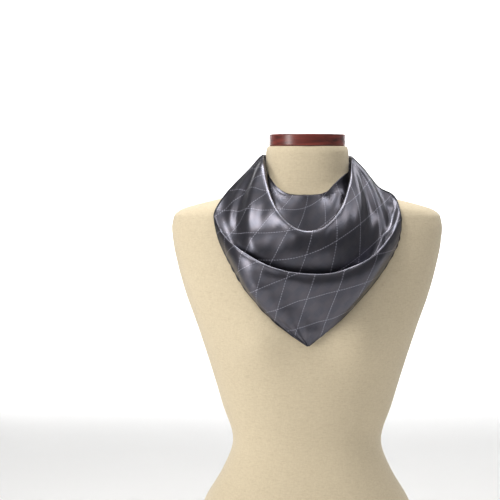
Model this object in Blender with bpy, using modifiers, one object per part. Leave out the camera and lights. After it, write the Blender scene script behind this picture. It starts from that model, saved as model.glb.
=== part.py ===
"""A silk square scarf, folded to a triangle, worn point forward on a limbless dress form.

Metres, +Z up, front towards -Y, +X to the viewer's right.  The origin is the middle
of the form's flat base.
"""
import math

import bmesh
import bpy
import numpy as np
from mathutils import Vector
from mathutils.bvhtree import BVHTree

# ---- driving sizes ---------------------------------------------------------------
CLOTH_WALL = 0.0010
SEAM_GAP = 0.0003
POCKET_SLOT = 0.0080
HEM_GAP = 0.0007
HEM_STEP = 0.005
CLOTH_CLEARANCE = 0.0018
WRAP_CLEARANCE = 0.0010
FRONT_REACH = 0.985
WRAP_START = 0.9878
HEM_RADIUS = 0.0011
BODY_EXPONENT = 2.2
BODY_POINTS = 56
BUST_HEIGHT = 0.014
BUST_WIDTH = 0.040
BUST_CENTRE = (0.074, 0.395)
CAP_RADIUS = 0.0555
CAP_CENTRE_Y = 0.0045
CAP_BASE_Z = 0.6703
CAP_HEIGHT = 0.0172
CAP_ROUNDING = 0.0018
KNOT_CENTRE = (0.0, 0.0765, 0.6330)
KNOT_HALF = (0.0162, 0.0115, 0.0138)
KNOT_PLEATS = 5
KNOT_POINTS = 20
KNOT_ENTRY_X = 0.0165
BAND_ROWS = 18
BAND_STEPS = 12

# ---- the form: one row per ring, from the base to the top of the neck -----------------
# height, half width, front y, back y
BODY_RINGS = (
    (0.0000, 0.1700, -0.1050, 0.1150),
    (0.0500, 0.1720, -0.1060, 0.1190),
    (0.1000, 0.1660, -0.1040, 0.1150),
    (0.1570, 0.1480, -0.1000, 0.0990),
    (0.2000, 0.1230, -0.0920, 0.0840),
    (0.2400, 0.1080, -0.0860, 0.0760),
    (0.3000, 0.1240, -0.0940, 0.0840),
    (0.3590, 0.1420, -0.1050, 0.0950),
    (0.4140, 0.1600, -0.1120, 0.1020),
    (0.4560, 0.1755, -0.1060, 0.1050),
    (0.5030, 0.1890, -0.0910, 0.1040),
    (0.5330, 0.1950, -0.0790, 0.0985),
    (0.5620, 0.1955, -0.0675, 0.0880),
    (0.5730, 0.1910, -0.0635, 0.0835),
    (0.5800, 0.1800, -0.0615, 0.0805),
    (0.5870, 0.1570, -0.0600, 0.0780),
    (0.5960, 0.1200, -0.0580, 0.0740),
    (0.6050, 0.0880, -0.0555, 0.0700),
    (0.6140, 0.0710, -0.0540, 0.0665),
    (0.6260, 0.0625, -0.0530, 0.0640),
    (0.6500, 0.0600, -0.0520, 0.0615),
    (0.6650, 0.0592, -0.0512, 0.0605),
    (0.6700, 0.0575, -0.0495, 0.0588),
)

# ---- the scarf: one row per line across the cloth, from the fold edge to the corner -----
# name, depth down the middle, middle x y z, left end x y z, right end x y z,
# sweep of the arc towards the left and the right end in degrees, lag of the fall backwards
SCARF_LINES = (
    ("fold_edge", 0.000, -0.006, -0.0600, 0.6015,
     -0.0622, 0.004, 0.6480, 0.0632, 0.004, 0.6460, 88, 60, 1.0),
    ("inner_high", 0.032, -0.006, -0.0780, 0.5750,
     -0.0624, 0.004, 0.6400, 0.0634, 0.004, 0.6390, 88, 72, 1.35),
    ("inner_low", 0.064, -0.005, -0.0950, 0.5470,
     -0.0626, 0.003, 0.6310, 0.0636, 0.003, 0.6300, 88, 80, 1.6),
    ("pocket_one", 0.088, -0.004, -0.1040, 0.5250,
     -0.0650, 0.002, 0.6240, 0.0660, 0.002, 0.6230, 88, 84, 2.3),
    ("ridge_one_rise", 0.110, -0.004, -0.1120, 0.5440,
     -0.0675, 0.001, 0.6350, 0.0685, 0.001, 0.6340, 89, 86, 1.6),
    ("ridge_one", 0.124, -0.004, -0.1190, 0.5555,
     -0.0672, -0.001, 0.6540, 0.0682, 0.000, 0.6520, 88, 80, 1.2),
    ("ridge_one_face", 0.134, -0.004, -0.1250, 0.5490,
     -0.0690, -0.002, 0.6560, 0.0690, -0.001, 0.6540, 88, 80, 1.25),
    ("middle_high", 0.158, -0.003, -0.1290, 0.5270,
     -0.0816, -0.006, 0.6390, 0.0800, -0.006, 0.6380, 84, 78, 1.5),
    ("middle_low", 0.190, 0.000, -0.1240, 0.4980,
     -0.1149, -0.022, 0.6050, 0.1010, -0.020, 0.6120, 75, 74, 1.6),
    ("pocket_two", 0.225, 0.003, -0.1190, 0.4660,
     -0.1331, -0.0530, 0.5758, 0.1250, -0.0300, 0.5960, 62, 66, 1.5),
    ("ridge_two_rise", 0.246, 0.005, -0.1320, 0.4850,
     -0.1330, -0.0600, 0.5640, 0.1297, -0.0550, 0.5752, 58, 60, 1.3),
    ("ridge_two", 0.260, 0.006, -0.1395, 0.4965,
     -0.1315, -0.0640, 0.5560, 0.1305, -0.0605, 0.5640, 54, 56, 1.3),
    ("ridge_two_face", 0.271, 0.006, -0.1440, 0.4880,
     -0.1290, -0.0680, 0.5450, 0.1289, -0.0655, 0.5492, 50, 52, 1.3),
    ("point_high", 0.298, 0.004, -0.1400, 0.4620,
     -0.1161, -0.0785, 0.5156, 0.1189, -0.0755, 0.5210, 40, 42, 1.3),
    ("point_mid", 0.334, 0.001, -0.1300, 0.4300,
     -0.0804, -0.1030, 0.4622, 0.0783, -0.1025, 0.4669, 28, 30, 1.2),
    ("point_low", 0.360, -0.002, -0.1225, 0.4060,
     -0.0308, -0.1190, 0.4128, 0.0296, -0.1190, 0.4197, 18, 18, 1.0),
    ("corner", 0.375, -0.0028, -0.1180, 0.3932,
     -0.0032, -0.1180, 0.3934, -0.0024, -0.1180, 0.3934, 10, 10, 1.0),
)
LINE_NAMES = [line[0] for line in SCARF_LINES]
LINE_VALUES = np.array([line[1:] for line in SCARF_LINES])
LINE_DEPTH = LINE_VALUES[:, 0]


def depth_of(name):
    """Return how far down the middle of the cloth a named line lies."""
    return float(LINE_DEPTH[LINE_NAMES.index(name)])


# ---- the band round the neck: offset from the neck and height at the nape, per line -----
# depth down the middle, offset, height at the nape
BAND_LINES = np.array((
    (0.000, 0.0010, 0.6480),
    (0.032, 0.0010, 0.6390),
    (0.064, 0.0014, 0.6270),
    (0.088, 0.0048, 0.6205),
    (0.110, 0.0074, 0.6290),
    (0.124, 0.0077, 0.6420),
    (0.134, 0.0080, 0.6500),
))
BAND_LIFT = 0.004

# ---- the free corners below the knot: one row per section down the tail -----------------
# distance down, sideways, out from the nape, height, half width, depth of the fold
TAIL_SECTIONS = (
    (0.0068, 0.0765, 0.6180, 0.0052, 0.0030),
    (0.0105, 0.0850, 0.6110, 0.0080, 0.0036),
    (0.0165, 0.0935, 0.5960, 0.0115, 0.0040),
    (0.0235, 0.0985, 0.5790, 0.0155, 0.0038),
    (0.0290, 0.1020, 0.5640, 0.0170, 0.0030),
    (0.0325, 0.1045, 0.5550, 0.0145, 0.0022),
    (0.0345, 0.1060, 0.5500, 0.0080, 0.0014),
)
TAIL_POINTS = 8


def smooth(keys, values, at):
    """Read a column of a table smoothly between its rows."""
    keys = np.asarray(keys, float)
    values = np.asarray(values, float)
    gaps = np.diff(keys)
    rates = np.diff(values) / gaps
    slopes = np.concatenate((rates[:1], rates[:1], rates[1:]))
    slopes[1:-1] = (rates[:-1] * gaps[1:] + rates[1:] * gaps[:-1]) / (gaps[1:] + gaps[:-1])
    i = int(np.clip(np.searchsorted(keys, at, side="right") - 1, 0, len(keys) - 2))
    u = (at - keys[i]) / gaps[i]
    rise = 3 * u ** 2 - 2 * u ** 3
    lead = (u ** 3 - 2 * u ** 2 + u) * gaps[i] * slopes[i]
    trail = (u ** 3 - u ** 2) * gaps[i] * slopes[i + 1]
    return values[i] + (values[i + 1] - values[i]) * rise + lead + trail


# ---- scene helpers -----------------------------------------------------------------------
def empty_scene():
    """Start from nothing, with the two collections that the part uses."""
    for item in list(bpy.data.objects):
        bpy.data.objects.remove(item, do_unlink=True)
    part = bpy.data.collections.new("silk_square_scarf")
    bpy.context.scene.collection.children.link(part)
    return part


def material(name, colour, roughness, sheen=0.0):
    """Make a Principled material."""
    made = bpy.data.materials.new(name)
    made.use_nodes = True
    shader = made.node_tree.nodes["Principled BSDF"]
    shader.inputs["Base Color"].default_value = (*colour, 1.0)
    shader.inputs["Roughness"].default_value = roughness
    shader.inputs["Sheen Weight"].default_value = sheen
    return made


def add_mesh(name, points, faces, look, part):
    """Make a named object out of points and faces, with outward normals."""
    mesh = bpy.data.meshes.new(name)
    mesh.from_pydata([tuple(p) for p in points], [], faces)
    mesh.materials.append(look)
    made = bpy.data.objects.new(name, mesh)
    part.objects.link(made)
    return made


def outward(made):
    """Turn the faces of a closed mesh outwards."""
    work = bmesh.new()
    work.from_mesh(made.data)
    bmesh.ops.recalc_face_normals(work, faces=work.faces)
    work.to_mesh(made.data)
    work.free()


def loft(name, rings, look, part, cap_ends=True):
    """Skin a list of rings that all have the same number of points."""
    count = len(rings[0])
    points = [p for ring in rings for p in ring]
    faces = []
    for r in range(len(rings) - 1):
        for k in range(count):
            n = (k + 1) % count
            faces.append((r * count + k, r * count + n, (r + 1) * count + n, (r + 1) * count + k))
    if cap_ends:
        faces.append(tuple(range(count)))
        faces.append(tuple((len(rings) - 1) * count + k for k in range(count)))
    made = add_mesh(name, points, faces, look, part)
    outward(made)
    return made


# ---- the form ------------------------------------------------------------------------------
def body_point(height, turn):
    """Return a point on the form at a height and a turn round the upright axis."""
    keys = [ring[0] for ring in BODY_RINGS]
    half = smooth(keys, [ring[1] for ring in BODY_RINGS], height)
    front = smooth(keys, [ring[2] for ring in BODY_RINGS], height)
    back = smooth(keys, [ring[3] for ring in BODY_RINGS], height)
    middle = (front + back) / 2
    deep = (back - front) / 2
    c, s = math.cos(turn), math.sin(turn)
    x = half * math.copysign(abs(c) ** (2 / BODY_EXPONENT), c)
    y = middle + deep * math.copysign(abs(s) ** (2 / BODY_EXPONENT), s)
    if y < middle:
        across = (abs(x) - BUST_CENTRE[0]) / BUST_WIDTH
        up = (height - BUST_CENTRE[1]) / BUST_WIDTH
        y -= BUST_HEIGHT * math.exp(-(across ** 2 + up ** 2)) * (middle - y) / deep
    return Vector((x, y, height))


def build_form_torso(look, part):
    """Loft the limbless body of the form from its flat base to the top of the neck."""
    heights = []
    for low, high in zip(BODY_RINGS[:-1], BODY_RINGS[1:]):
        steps = max(1, round((high[0] - low[0]) / 0.022))
        heights += [low[0] + (high[0] - low[0]) * k / steps for k in range(steps)]
    heights.append(BODY_RINGS[-1][0])
    rings = []
    for height in heights:
        rings.append([body_point(height, 2 * math.pi * k / BODY_POINTS) for k in range(BODY_POINTS)])
    return loft("form_torso", rings, look, part)


def build_form_neck_cap(look, part):
    """Turn the wooden cap that closes the neck."""
    top = CAP_BASE_Z + CAP_HEIGHT
    inner = CAP_RADIUS - CAP_ROUNDING
    profile = [(0.0, CAP_BASE_Z), (inner, CAP_BASE_Z)]
    for k in range(1, 4):
        a = math.radians(30 * k)
        profile.append((inner + CAP_ROUNDING * math.sin(a), CAP_BASE_Z + CAP_ROUNDING * (1 - math.cos(a))))
    for k in range(4):
        a = math.radians(30 * k)
        profile.append((inner + CAP_ROUNDING * math.cos(a), top - CAP_ROUNDING * (1 - math.sin(a))))
    profile.append((0.0, top))
    mesh = bpy.data.meshes.new("form_neck_cap")
    edges = [(k, k + 1) for k in range(len(profile) - 1)]
    mesh.from_pydata([(x, 0.0, z) for x, z in profile], edges, [])
    mesh.materials.append(look)
    made = bpy.data.objects.new("form_neck_cap", mesh)
    part.objects.link(made)
    made.location = (0.0, CAP_CENTRE_Y, 0.0)
    turned = made.modifiers.new("turned", "SCREW")
    turned.steps = 48
    turned.render_steps = 48
    turned.use_merge_vertices = True
    turned.merge_threshold = 0.00001
    turned.use_normal_calculate = True
    return made


# ---- the cloth -------------------------------------------------------------------------------
def front_point(depth, across):
    """Return a point of the cloth on the chest; across runs from -1 at the left to 1."""
    row = [smooth(LINE_DEPTH, LINE_VALUES[:, k], depth) for k in range(1, 13)]
    middle = row[0:3]
    end = row[3:6] if across < 0 else row[6:9]
    sweep = math.radians(row[9] if across < 0 else row[10])
    turn = abs(across) * sweep
    out = math.sin(turn) / math.sin(sweep)
    rise = (1 - math.cos(turn)) / (1 - math.cos(sweep))
    x = middle[0] + (end[0] - middle[0]) * out
    y = middle[1] + (end[1] - middle[1]) * rise ** row[11]
    z = middle[2] + (end[2] - middle[2]) * rise
    return Vector((x, y, z))


def band_point(depth, along, side):
    """Return a point of the gathered end; along runs from the neck side to the nape."""
    start = front_point(depth, side)
    offset = smooth(BAND_LINES[:, 0], BAND_LINES[:, 1], depth)
    nape_height = smooth(BAND_LINES[:, 0], BAND_LINES[:, 2], depth)
    blend = along ** 2 * (3 - 2 * along)
    height = start.z + (nape_height - start.z) * blend + BAND_LIFT * math.sin(math.pi * along)
    neck = body_point(min(height, 0.664), 0.0)
    back = body_point(min(height, 0.664), math.pi / 2)
    front = body_point(min(height, 0.664), -math.pi / 2)
    middle = (back.y + front.y) / 2
    first = math.asin(max(-1.0, min(1.0, (start.y - middle) / (back.y - middle))))
    last = math.acos(KNOT_ENTRY_X / (neck.x + offset))
    turn = first + (last - first) * along
    wide = abs(start.x) / math.cos(first)
    wide += (neck.x + offset - wide) * min(1.0, 4 * along)
    deep = back.y - middle + offset
    return Vector((side * wide * math.cos(turn), middle + deep * math.sin(turn), height))


def away_from_form(point, form):
    """Return how far a point is from the form, and the way out of it."""
    near, normal, _, _ = form.find_nearest(point)
    return (point - near).dot(normal), normal


def settle_on_form(grid, form, clearance=CLOTH_CLEARANCE):
    """Move a grid of cloth points out until its corners and quad centres clear the form."""
    for _ in range(8):
        for r in range(len(grid)):
            for k in range(len(grid[0])):
                gap, normal = away_from_form(grid[r][k], form)
                if gap < clearance:
                    grid[r][k] = grid[r][k] + normal * (clearance - gap)
        for r in range(len(grid) - 1):
            for k in range(len(grid[0]) - 1):
                corners = ((r, k), (r + 1, k), (r, k + 1), (r + 1, k + 1))
                middle = sum((grid[a][b] for a, b in corners), Vector()) / 4
                gap, normal = away_from_form(middle, form)
                if gap < clearance:
                    for a, b in corners:
                        grid[a][b] = grid[a][b] + normal * (clearance - gap)
    return grid


def cloth_wall(name, grid, look, part):
    """Make a cloth wall out of a grid of points, with its thickness as a Solidify."""
    wide = len(grid[0])
    points = [p for row in grid for p in row]
    faces = []
    for r in range(len(grid) - 1):
        for k in range(wide - 1):
            a = r * wide + k
            faces.append((a, a + 1, a + wide + 1, a + wide))
    made = add_mesh(name, points, faces, look, part)
    wall = made.modifiers.new("wall", "SOLIDIFY")
    wall.thickness = CLOTH_WALL
    wall.offset = 0.0
    wall.use_even_offset = True
    return made


def front_grid(depths, reach, steps, form):
    """Sample the cloth on the chest between two depths."""
    grid = []
    for depth in depths:
        row = []
        for k in range(steps + 1):
            across = reach * (2 * k / steps - 1)
            row.append(front_point(depth, across))
        grid.append(row)
    return settle_on_form(grid, form)


def depths_between(first, last, per_line):
    """List depths from one to the other, denser where the table has more lines."""
    inside = [d for d in LINE_DEPTH if first < d < last]
    stops = [first, *inside, last]
    depths = []
    for low, high in zip(stops[:-1], stops[1:]):
        depths += [low + (high - low) * k / per_line for k in range(per_line)]
    return depths + [last]


def edge_path(grids, side):
    """Follow the edge of one or more cloth grids, just outside the cloth."""
    last = -1 if side > 0 else 0
    before = -2 if side > 0 else 1
    rows = []
    for row in (row for grid in grids for row in grid):
        if not rows or (row[last] - rows[-1][last]).length > HEM_STEP:
            rows.append(row)
    path = []
    for k, row in enumerate(rows):
        ahead = rows[min(k + 1, len(rows) - 1)][last]
        behind = rows[max(k - 1, 0)][last]
        line = (ahead - behind).normalized()
        out = row[last] - row[before]
        out = (out - line * out.dot(line)).normalized()
        path.append(row[last] + out * (HEM_RADIUS + HEM_GAP))
    return path


def rolled_hem(name, path, look, part, form):
    """Run a rolled hem along a path as a round tube."""
    curve = bpy.data.curves.new(name, "CURVE")
    curve.dimensions = "3D"
    curve.bevel_depth = HEM_RADIUS
    curve.bevel_resolution = 1
    curve.use_fill_caps = True
    curve.materials.append(look)
    line = curve.splines.new("POLY")
    line.points.add(len(path) - 1)
    for spot, point in zip(line.points, path):
        gap, normal = away_from_form(point, form)
        if gap < HEM_RADIUS + HEM_GAP:
            point = point + normal * (HEM_RADIUS + HEM_GAP - gap)
        spot.co = (*point, 1.0)
    made = bpy.data.objects.new(name, curve)
    part.objects.link(made)
    return made


def build_scarf_fronts(look, hem, part, form):
    """Build the three stretches that hang on the chest."""
    pocket_one = depth_of("pocket_one")
    pocket_two = depth_of("pocket_two")
    inner = front_grid(depths_between(0.0, pocket_one - 2 * POCKET_SLOT, 3), FRONT_REACH, 28, form)
    cloth_wall("scarf_cowl_inner", inner, look, part)
    middle_depths = depths_between(pocket_one + POCKET_SLOT, pocket_two - POCKET_SLOT / 2, 2)
    middle = front_grid(middle_depths, FRONT_REACH, 30, form)
    cloth_wall("scarf_cowl_middle", middle, look, part)
    last = depth_of("corner") - 0.004
    point = front_grid(depths_between(pocket_two + POCKET_SLOT / 2, last, 2), FRONT_REACH, 28, form)
    cloth_wall("scarf_front_point", point, look, part)
    start = depth_of("ridge_one_face") + 0.006
    upper = [row for row, depth in zip(middle, middle_depths) if depth > start]
    rolled_hem("scarf_hem_left", edge_path((upper, point), -1), hem, part, form)
    rolled_hem("scarf_hem_right", edge_path((upper, point), 1), hem, part, form)


def build_scarf_wrap(name, side, look, part, form):
    """Build one gathered end, from the neck side round to the knot."""
    last = depth_of("ridge_one_face")
    grid = []
    for r in range(BAND_ROWS + 1):
        depth = last * r / BAND_ROWS
        row = [front_point(depth, side * WRAP_START), front_point(depth, side * 0.996)]
        for k in range(1, BAND_STEPS + 1):
            row.append(band_point(depth, k / BAND_STEPS, side))
        grid.append(row)
    return cloth_wall(name, settle_on_form(grid, form, WRAP_CLEARANCE), look, part)


def build_scarf_knot(look, part):
    """Loft the square knot at the nape, pleated where the cloth is drawn together."""
    rings = []
    for step in range(13):
        along = 2 * step / 12 - 1
        size = 0.70 + 0.30 * math.sqrt(max(0.0, 1 - along ** 4))
        size -= 0.10 * math.exp(-(along / 0.22) ** 2)
        ring = []
        for k in range(KNOT_POINTS):
            turn = 2 * math.pi * k / KNOT_POINTS
            pleat = 1 + 0.05 * math.cos(KNOT_PLEATS * turn)
            y = KNOT_CENTRE[1] + KNOT_HALF[1] * size * pleat * math.cos(turn)
            z = KNOT_CENTRE[2] + KNOT_HALF[2] * size * pleat * math.sin(turn)
            ring.append(Vector((KNOT_HALF[0] * along, y, z)))
        rings.append(ring)
    return loft("scarf_knot", rings, look, part)


def build_scarf_tail(name, side, look, part):
    """Build one free corner as a softly folded wall that widens below the knot."""
    grid = []
    levels = [k / 2 for k in range(2 * (len(TAIL_SECTIONS) - 1) + 1)]
    keys = list(range(len(TAIL_SECTIONS)))
    for level in levels:
        across, out, height, half, fold = (
            smooth(keys, [section[c] for section in TAIL_SECTIONS], level) for c in range(5))
        row = []
        for k in range(TAIL_POINTS + 1):
            u = 2 * k / TAIL_POINTS - 1
            y = out + fold * (1 - u * u) + 0.4 * fold * math.sin(2.5 * math.pi * u)
            row.append(Vector((side * (across + half * u), y, height - 0.25 * half * u)))
        grid.append(row)
    return cloth_wall(name, grid, look, part)


def main():
    """Build the part."""
    part = empty_scene()
    satin = material("silk_satin", (0.075, 0.075, 0.095), 0.35, 0.2)
    hem = material("rolled_hem_silk", (0.030, 0.028, 0.036), 0.45, 0.2)
    linen = material("linen_cover", (0.82, 0.72, 0.53), 0.9, 0.1)
    wood = material("mahogany_cap", (0.16, 0.03, 0.015), 0.3)
    torso = build_form_torso(linen, part)
    build_form_neck_cap(wood, part)
    form = BVHTree.FromPolygons([v.co for v in torso.data.vertices],
                                [tuple(f.vertices) for f in torso.data.polygons])
    build_scarf_fronts(satin, hem, part, form)
    build_scarf_wrap("scarf_wrap_left", -1, satin, part, form)
    build_scarf_wrap("scarf_wrap_right", 1, satin, part, form)
    build_scarf_knot(satin, part)
    build_scarf_tail("scarf_tail_left", -1, satin, part)
    build_scarf_tail("scarf_tail_right", 1, satin, part)


main()
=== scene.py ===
import bpy
import bmesh
import math
import numpy as np
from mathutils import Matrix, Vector
from mathutils.bvhtree import BVHTree


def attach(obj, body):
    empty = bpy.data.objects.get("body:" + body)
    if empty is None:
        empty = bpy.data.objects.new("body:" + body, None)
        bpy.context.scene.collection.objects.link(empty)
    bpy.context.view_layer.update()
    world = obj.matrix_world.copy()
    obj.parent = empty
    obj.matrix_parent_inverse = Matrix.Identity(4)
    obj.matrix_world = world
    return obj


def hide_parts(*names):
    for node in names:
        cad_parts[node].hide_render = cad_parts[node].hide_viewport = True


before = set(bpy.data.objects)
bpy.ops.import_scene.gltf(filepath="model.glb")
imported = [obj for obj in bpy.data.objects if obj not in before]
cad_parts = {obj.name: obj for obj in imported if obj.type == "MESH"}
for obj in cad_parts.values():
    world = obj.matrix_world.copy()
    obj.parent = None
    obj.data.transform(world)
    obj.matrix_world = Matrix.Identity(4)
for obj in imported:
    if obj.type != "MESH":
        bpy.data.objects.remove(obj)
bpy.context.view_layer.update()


# small helpers

def splineColumns(keys, values, at):
    # smooth reading of table columns between rows, for an array of positions
    keys = np.asarray(keys, float)
    values = np.asarray(values, float)
    at = np.asarray(at, float)
    gaps = np.diff(keys)
    rates = np.diff(values, axis=0) / gaps[:, None]
    slopes = np.empty_like(values)
    slopes[0], slopes[-1] = rates[0], rates[-1]
    mix = gaps[:-1, None] + gaps[1:, None]
    slopes[1:-1] = (rates[:-1] * gaps[1:, None] + rates[1:] * gaps[:-1, None]) / mix
    i = np.clip(np.searchsorted(keys, at, side="right") - 1, 0, len(keys) - 2)
    u = ((at - keys[i]) / gaps[i])[:, None]
    g = gaps[i][:, None]
    rise = 3 * u ** 2 - 2 * u ** 3
    lead = (u ** 3 - 2 * u ** 2 + u) * g * slopes[i]
    trail = (u ** 3 - u ** 2) * g * slopes[i + 1]
    return values[i] + (values[i + 1] - values[i]) * rise + lead + trail


def addObject(name, points, faces, look, smooth=True):
    mesh = bpy.data.meshes.new(name)
    mesh.from_pydata([tuple(p) for p in points], [], faces)
    mesh.materials.append(look)
    if smooth:
        mesh.polygons.foreach_set("use_smooth", [True] * len(mesh.polygons))
    made = bpy.data.objects.new(name, mesh)
    bpy.context.scene.collection.objects.link(made)
    return made


def gridFaces(rows, columns, start=0):
    faces = []
    for r in range(rows - 1):
        for k in range(columns - 1):
            a = start + r * columns + k
            faces.append((a, a + 1, a + columns + 1, a + columns))
    return faces


def ringFaces(rows, columns, start=0):
    faces = []
    for r in range(rows - 1):
        for k in range(columns):
            n = (k + 1) % columns
            a, b = start + r * columns, start + (r + 1) * columns
            faces.append((a + k, a + n, b + n, b + k))
    return faces


def turnOutward(made):
    work = bmesh.new()
    work.from_mesh(made.data)
    bmesh.ops.recalc_face_normals(work, faces=work.faces)
    work.to_mesh(made.data)
    work.free()


def bake(made):
    # the evaluated mesh takes the place of the mesh and its modifiers
    graph = bpy.context.evaluated_depsgraph_get()
    graph.update()
    plain = bpy.data.meshes.new_from_object(made.evaluated_get(graph), depsgraph=graph)
    looks = [slot.material for slot in made.material_slots]
    made.modifiers.clear()
    made.data = plain
    if not plain.materials:
        for look in looks:
            plain.materials.append(look)
    plain.name = made.name
    return made


def treeOf(points, faces):
    return BVHTree.FromPolygons([Vector(p) for p in points], faces)


# materials

def newMaterial(name):
    look = bpy.data.materials.new(name)
    look.use_nodes = True
    tree = look.node_tree
    tree.nodes.clear()
    out = tree.nodes.new("ShaderNodeOutputMaterial")
    shader = tree.nodes.new("ShaderNodeBsdfPrincipled")
    tree.links.new(shader.outputs["BSDF"], out.inputs["Surface"])
    return look, tree, shader


def addNode(tree, kind, **values):
    made = tree.nodes.new(kind)
    for key, value in values.items():
        setattr(made, key, value)
    return made


def mathNode(tree, operation, first, second=None, third=None):
    made = tree.nodes.new("ShaderNodeMath")
    made.operation = operation
    for k, value in enumerate((first, second, third)):
        if value is None:
            continue
        if isinstance(value, (int, float)):
            made.inputs[k].default_value = value
        else:
            tree.links.new(value, made.inputs[k])
    return made.outputs[0]


def colourMix(tree, factor, first, second):
    made = tree.nodes.new("ShaderNodeMix")
    made.data_type = "RGBA"
    for socket, value in ((0, factor), (6, first), (7, second)):
        if isinstance(value, (int, float)):
            made.inputs[socket].default_value = value
        elif isinstance(value, tuple):
            made.inputs[socket].default_value = (*value, 1.0)
        else:
            tree.links.new(value, made.inputs[socket])
    return made.outputs[2]


def noiseNode(tree, vector, scale, detail=3.0, roughness=0.5):
    made = tree.nodes.new("ShaderNodeTexNoise")
    made.inputs["Scale"].default_value = scale
    made.inputs["Detail"].default_value = detail
    made.inputs["Roughness"].default_value = roughness
    tree.links.new(vector, made.inputs["Vector"])
    return made.outputs[0]


def scaledVector(tree, vector, scale):
    made = tree.nodes.new("ShaderNodeMapping")
    made.inputs["Scale"].default_value = scale
    tree.links.new(vector, made.inputs["Vector"])
    return made.outputs[0]


latticeSizes = dict(gapShade=0.05, checkPitch=0.018,
                    angle=27.0, spacing=0.0360, crossingU=0.0085, crossingV=0.0315,
                    halfWidth=0.00030, softness=0.00025, dotPitch=0.0036, dotShare=0.5)


def makeDottedLattice():
    # two families of thin dotted lines in the flat cloth's own metres
    group = bpy.data.node_groups.new("dottedLattice", "ShaderNodeTree")
    group.interface.new_socket("Cloth", in_out="INPUT", socket_type="NodeSocketVector")
    group.interface.new_socket("Line", in_out="OUTPUT", socket_type="NodeSocketFloat")
    group.interface.new_socket("Check", in_out="OUTPUT", socket_type="NodeSocketFloat")
    inside = group.nodes.new("NodeGroupInput")
    outside = group.nodes.new("NodeGroupOutput")
    split = group.nodes.new("ShaderNodeSeparateXYZ")
    group.links.new(inside.outputs[0], split.inputs[0])
    u = mathNode(group, "SUBTRACT", split.outputs[0], latticeSizes["crossingU"])
    v = mathNode(group, "SUBTRACT", split.outputs[1], latticeSizes["crossingV"])
    families = []
    checks = []
    for sign in (1, -1):
        turn = math.radians(latticeSizes["angle"]) * sign
        c, s = math.cos(turn), math.sin(turn)
        along = mathNode(group, "ADD", mathNode(group, "MULTIPLY", u, c),
                         mathNode(group, "MULTIPLY", v, s))
        across = mathNode(group, "SUBTRACT", mathNode(group, "MULTIPLY", v, c),
                          mathNode(group, "MULTIPLY", u, s))
        away = mathNode(group, "ABSOLUTE",
                        mathNode(group, "WRAP", across, latticeSizes["spacing"] / 2,
                                 -latticeSizes["spacing"] / 2))
        step = mathNode(group, "MULTIPLY", across, 2 * math.pi / latticeSizes["checkPitch"])
        checks.append(mathNode(group, "MULTIPLY", mathNode(group, "SINE", step), 2.2))
        edge = mathNode(group, "SUBTRACT", latticeSizes["halfWidth"] + latticeSizes["softness"],
                        away)
        line = mathNode(group, "DIVIDE", edge, latticeSizes["softness"])
        line = mathNode(group, "MINIMUM", mathNode(group, "MAXIMUM", line, 0.0), 1.0)
        beat = mathNode(group, "FRACT", mathNode(group, "DIVIDE", along, latticeSizes["dotPitch"]))
        dot = mathNode(group, "LESS_THAN", beat, latticeSizes["dotShare"])
        dot = mathNode(group, "ADD", mathNode(group, "MULTIPLY", dot, 1 - latticeSizes["gapShade"]),
                       latticeSizes["gapShade"])
        families.append(mathNode(group, "MULTIPLY", line, dot))
    both = mathNode(group, "MAXIMUM", families[0], families[1])
    group.links.new(both, outside.inputs[0])
    plaid = mathNode(group, "ADD", checks[0], checks[1])
    plaid = mathNode(group, "ADD", mathNode(group, "MULTIPLY", plaid, 0.25), 0.5)
    plaid = mathNode(group, "MINIMUM", mathNode(group, "MAXIMUM", plaid, 0.0), 1.0)
    group.links.new(plaid, outside.inputs[1])
    return group


def makeSilkWeave():
    # faint warp streaks and a very fine twill, as a mask and a height
    group = bpy.data.node_groups.new("silkWeave", "ShaderNodeTree")
    group.interface.new_socket("Cloth", in_out="INPUT", socket_type="NodeSocketVector")
    group.interface.new_socket("Streak", in_out="OUTPUT", socket_type="NodeSocketFloat")
    group.interface.new_socket("Height", in_out="OUTPUT", socket_type="NodeSocketFloat")
    inside = group.nodes.new("NodeGroupInput")
    outside = group.nodes.new("NodeGroupOutput")
    source = inside.outputs[0]
    warp = noiseNode(group, scaledVector(group, source, satinLook["warpStretch"]), 1.0, 2.0)
    weft = noiseNode(group, scaledVector(group, source, satinLook["weftStretch"]), 1.0, 2.0)
    cloud = noiseNode(group, source, satinLook["cloudScale"], 2.0)
    streak = mathNode(group, "ADD", mathNode(group, "MULTIPLY", warp, 0.6),
                      mathNode(group, "MULTIPLY", weft, 0.4))
    streak = mathNode(group, "ADD", mathNode(group, "MULTIPLY", streak, 0.7),
                      mathNode(group, "MULTIPLY", cloud, 0.3))
    group.links.new(streak, outside.inputs[0])
    group.links.new(streak, outside.inputs[1])
    return group


satinLook = dict(deep=(0.066, 0.066, 0.082), pale=(0.150, 0.150, 0.180), line=(0.40, 0.395, 0.48),
                 check=(0.150, 0.138, 0.156),
                 metallic=0.94, roughness=0.31, anisotropic=0.65, specular=0.6,
                 sheen=0.08, sheenRoughness=0.35, checkShare=0.4, bump=0.12, bumpDepth=0.0004,
                 warpStretch=(1400.0, 60.0, 1.0), weftStretch=(50.0, 1100.0, 1.0), cloudScale=45.0)


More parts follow.
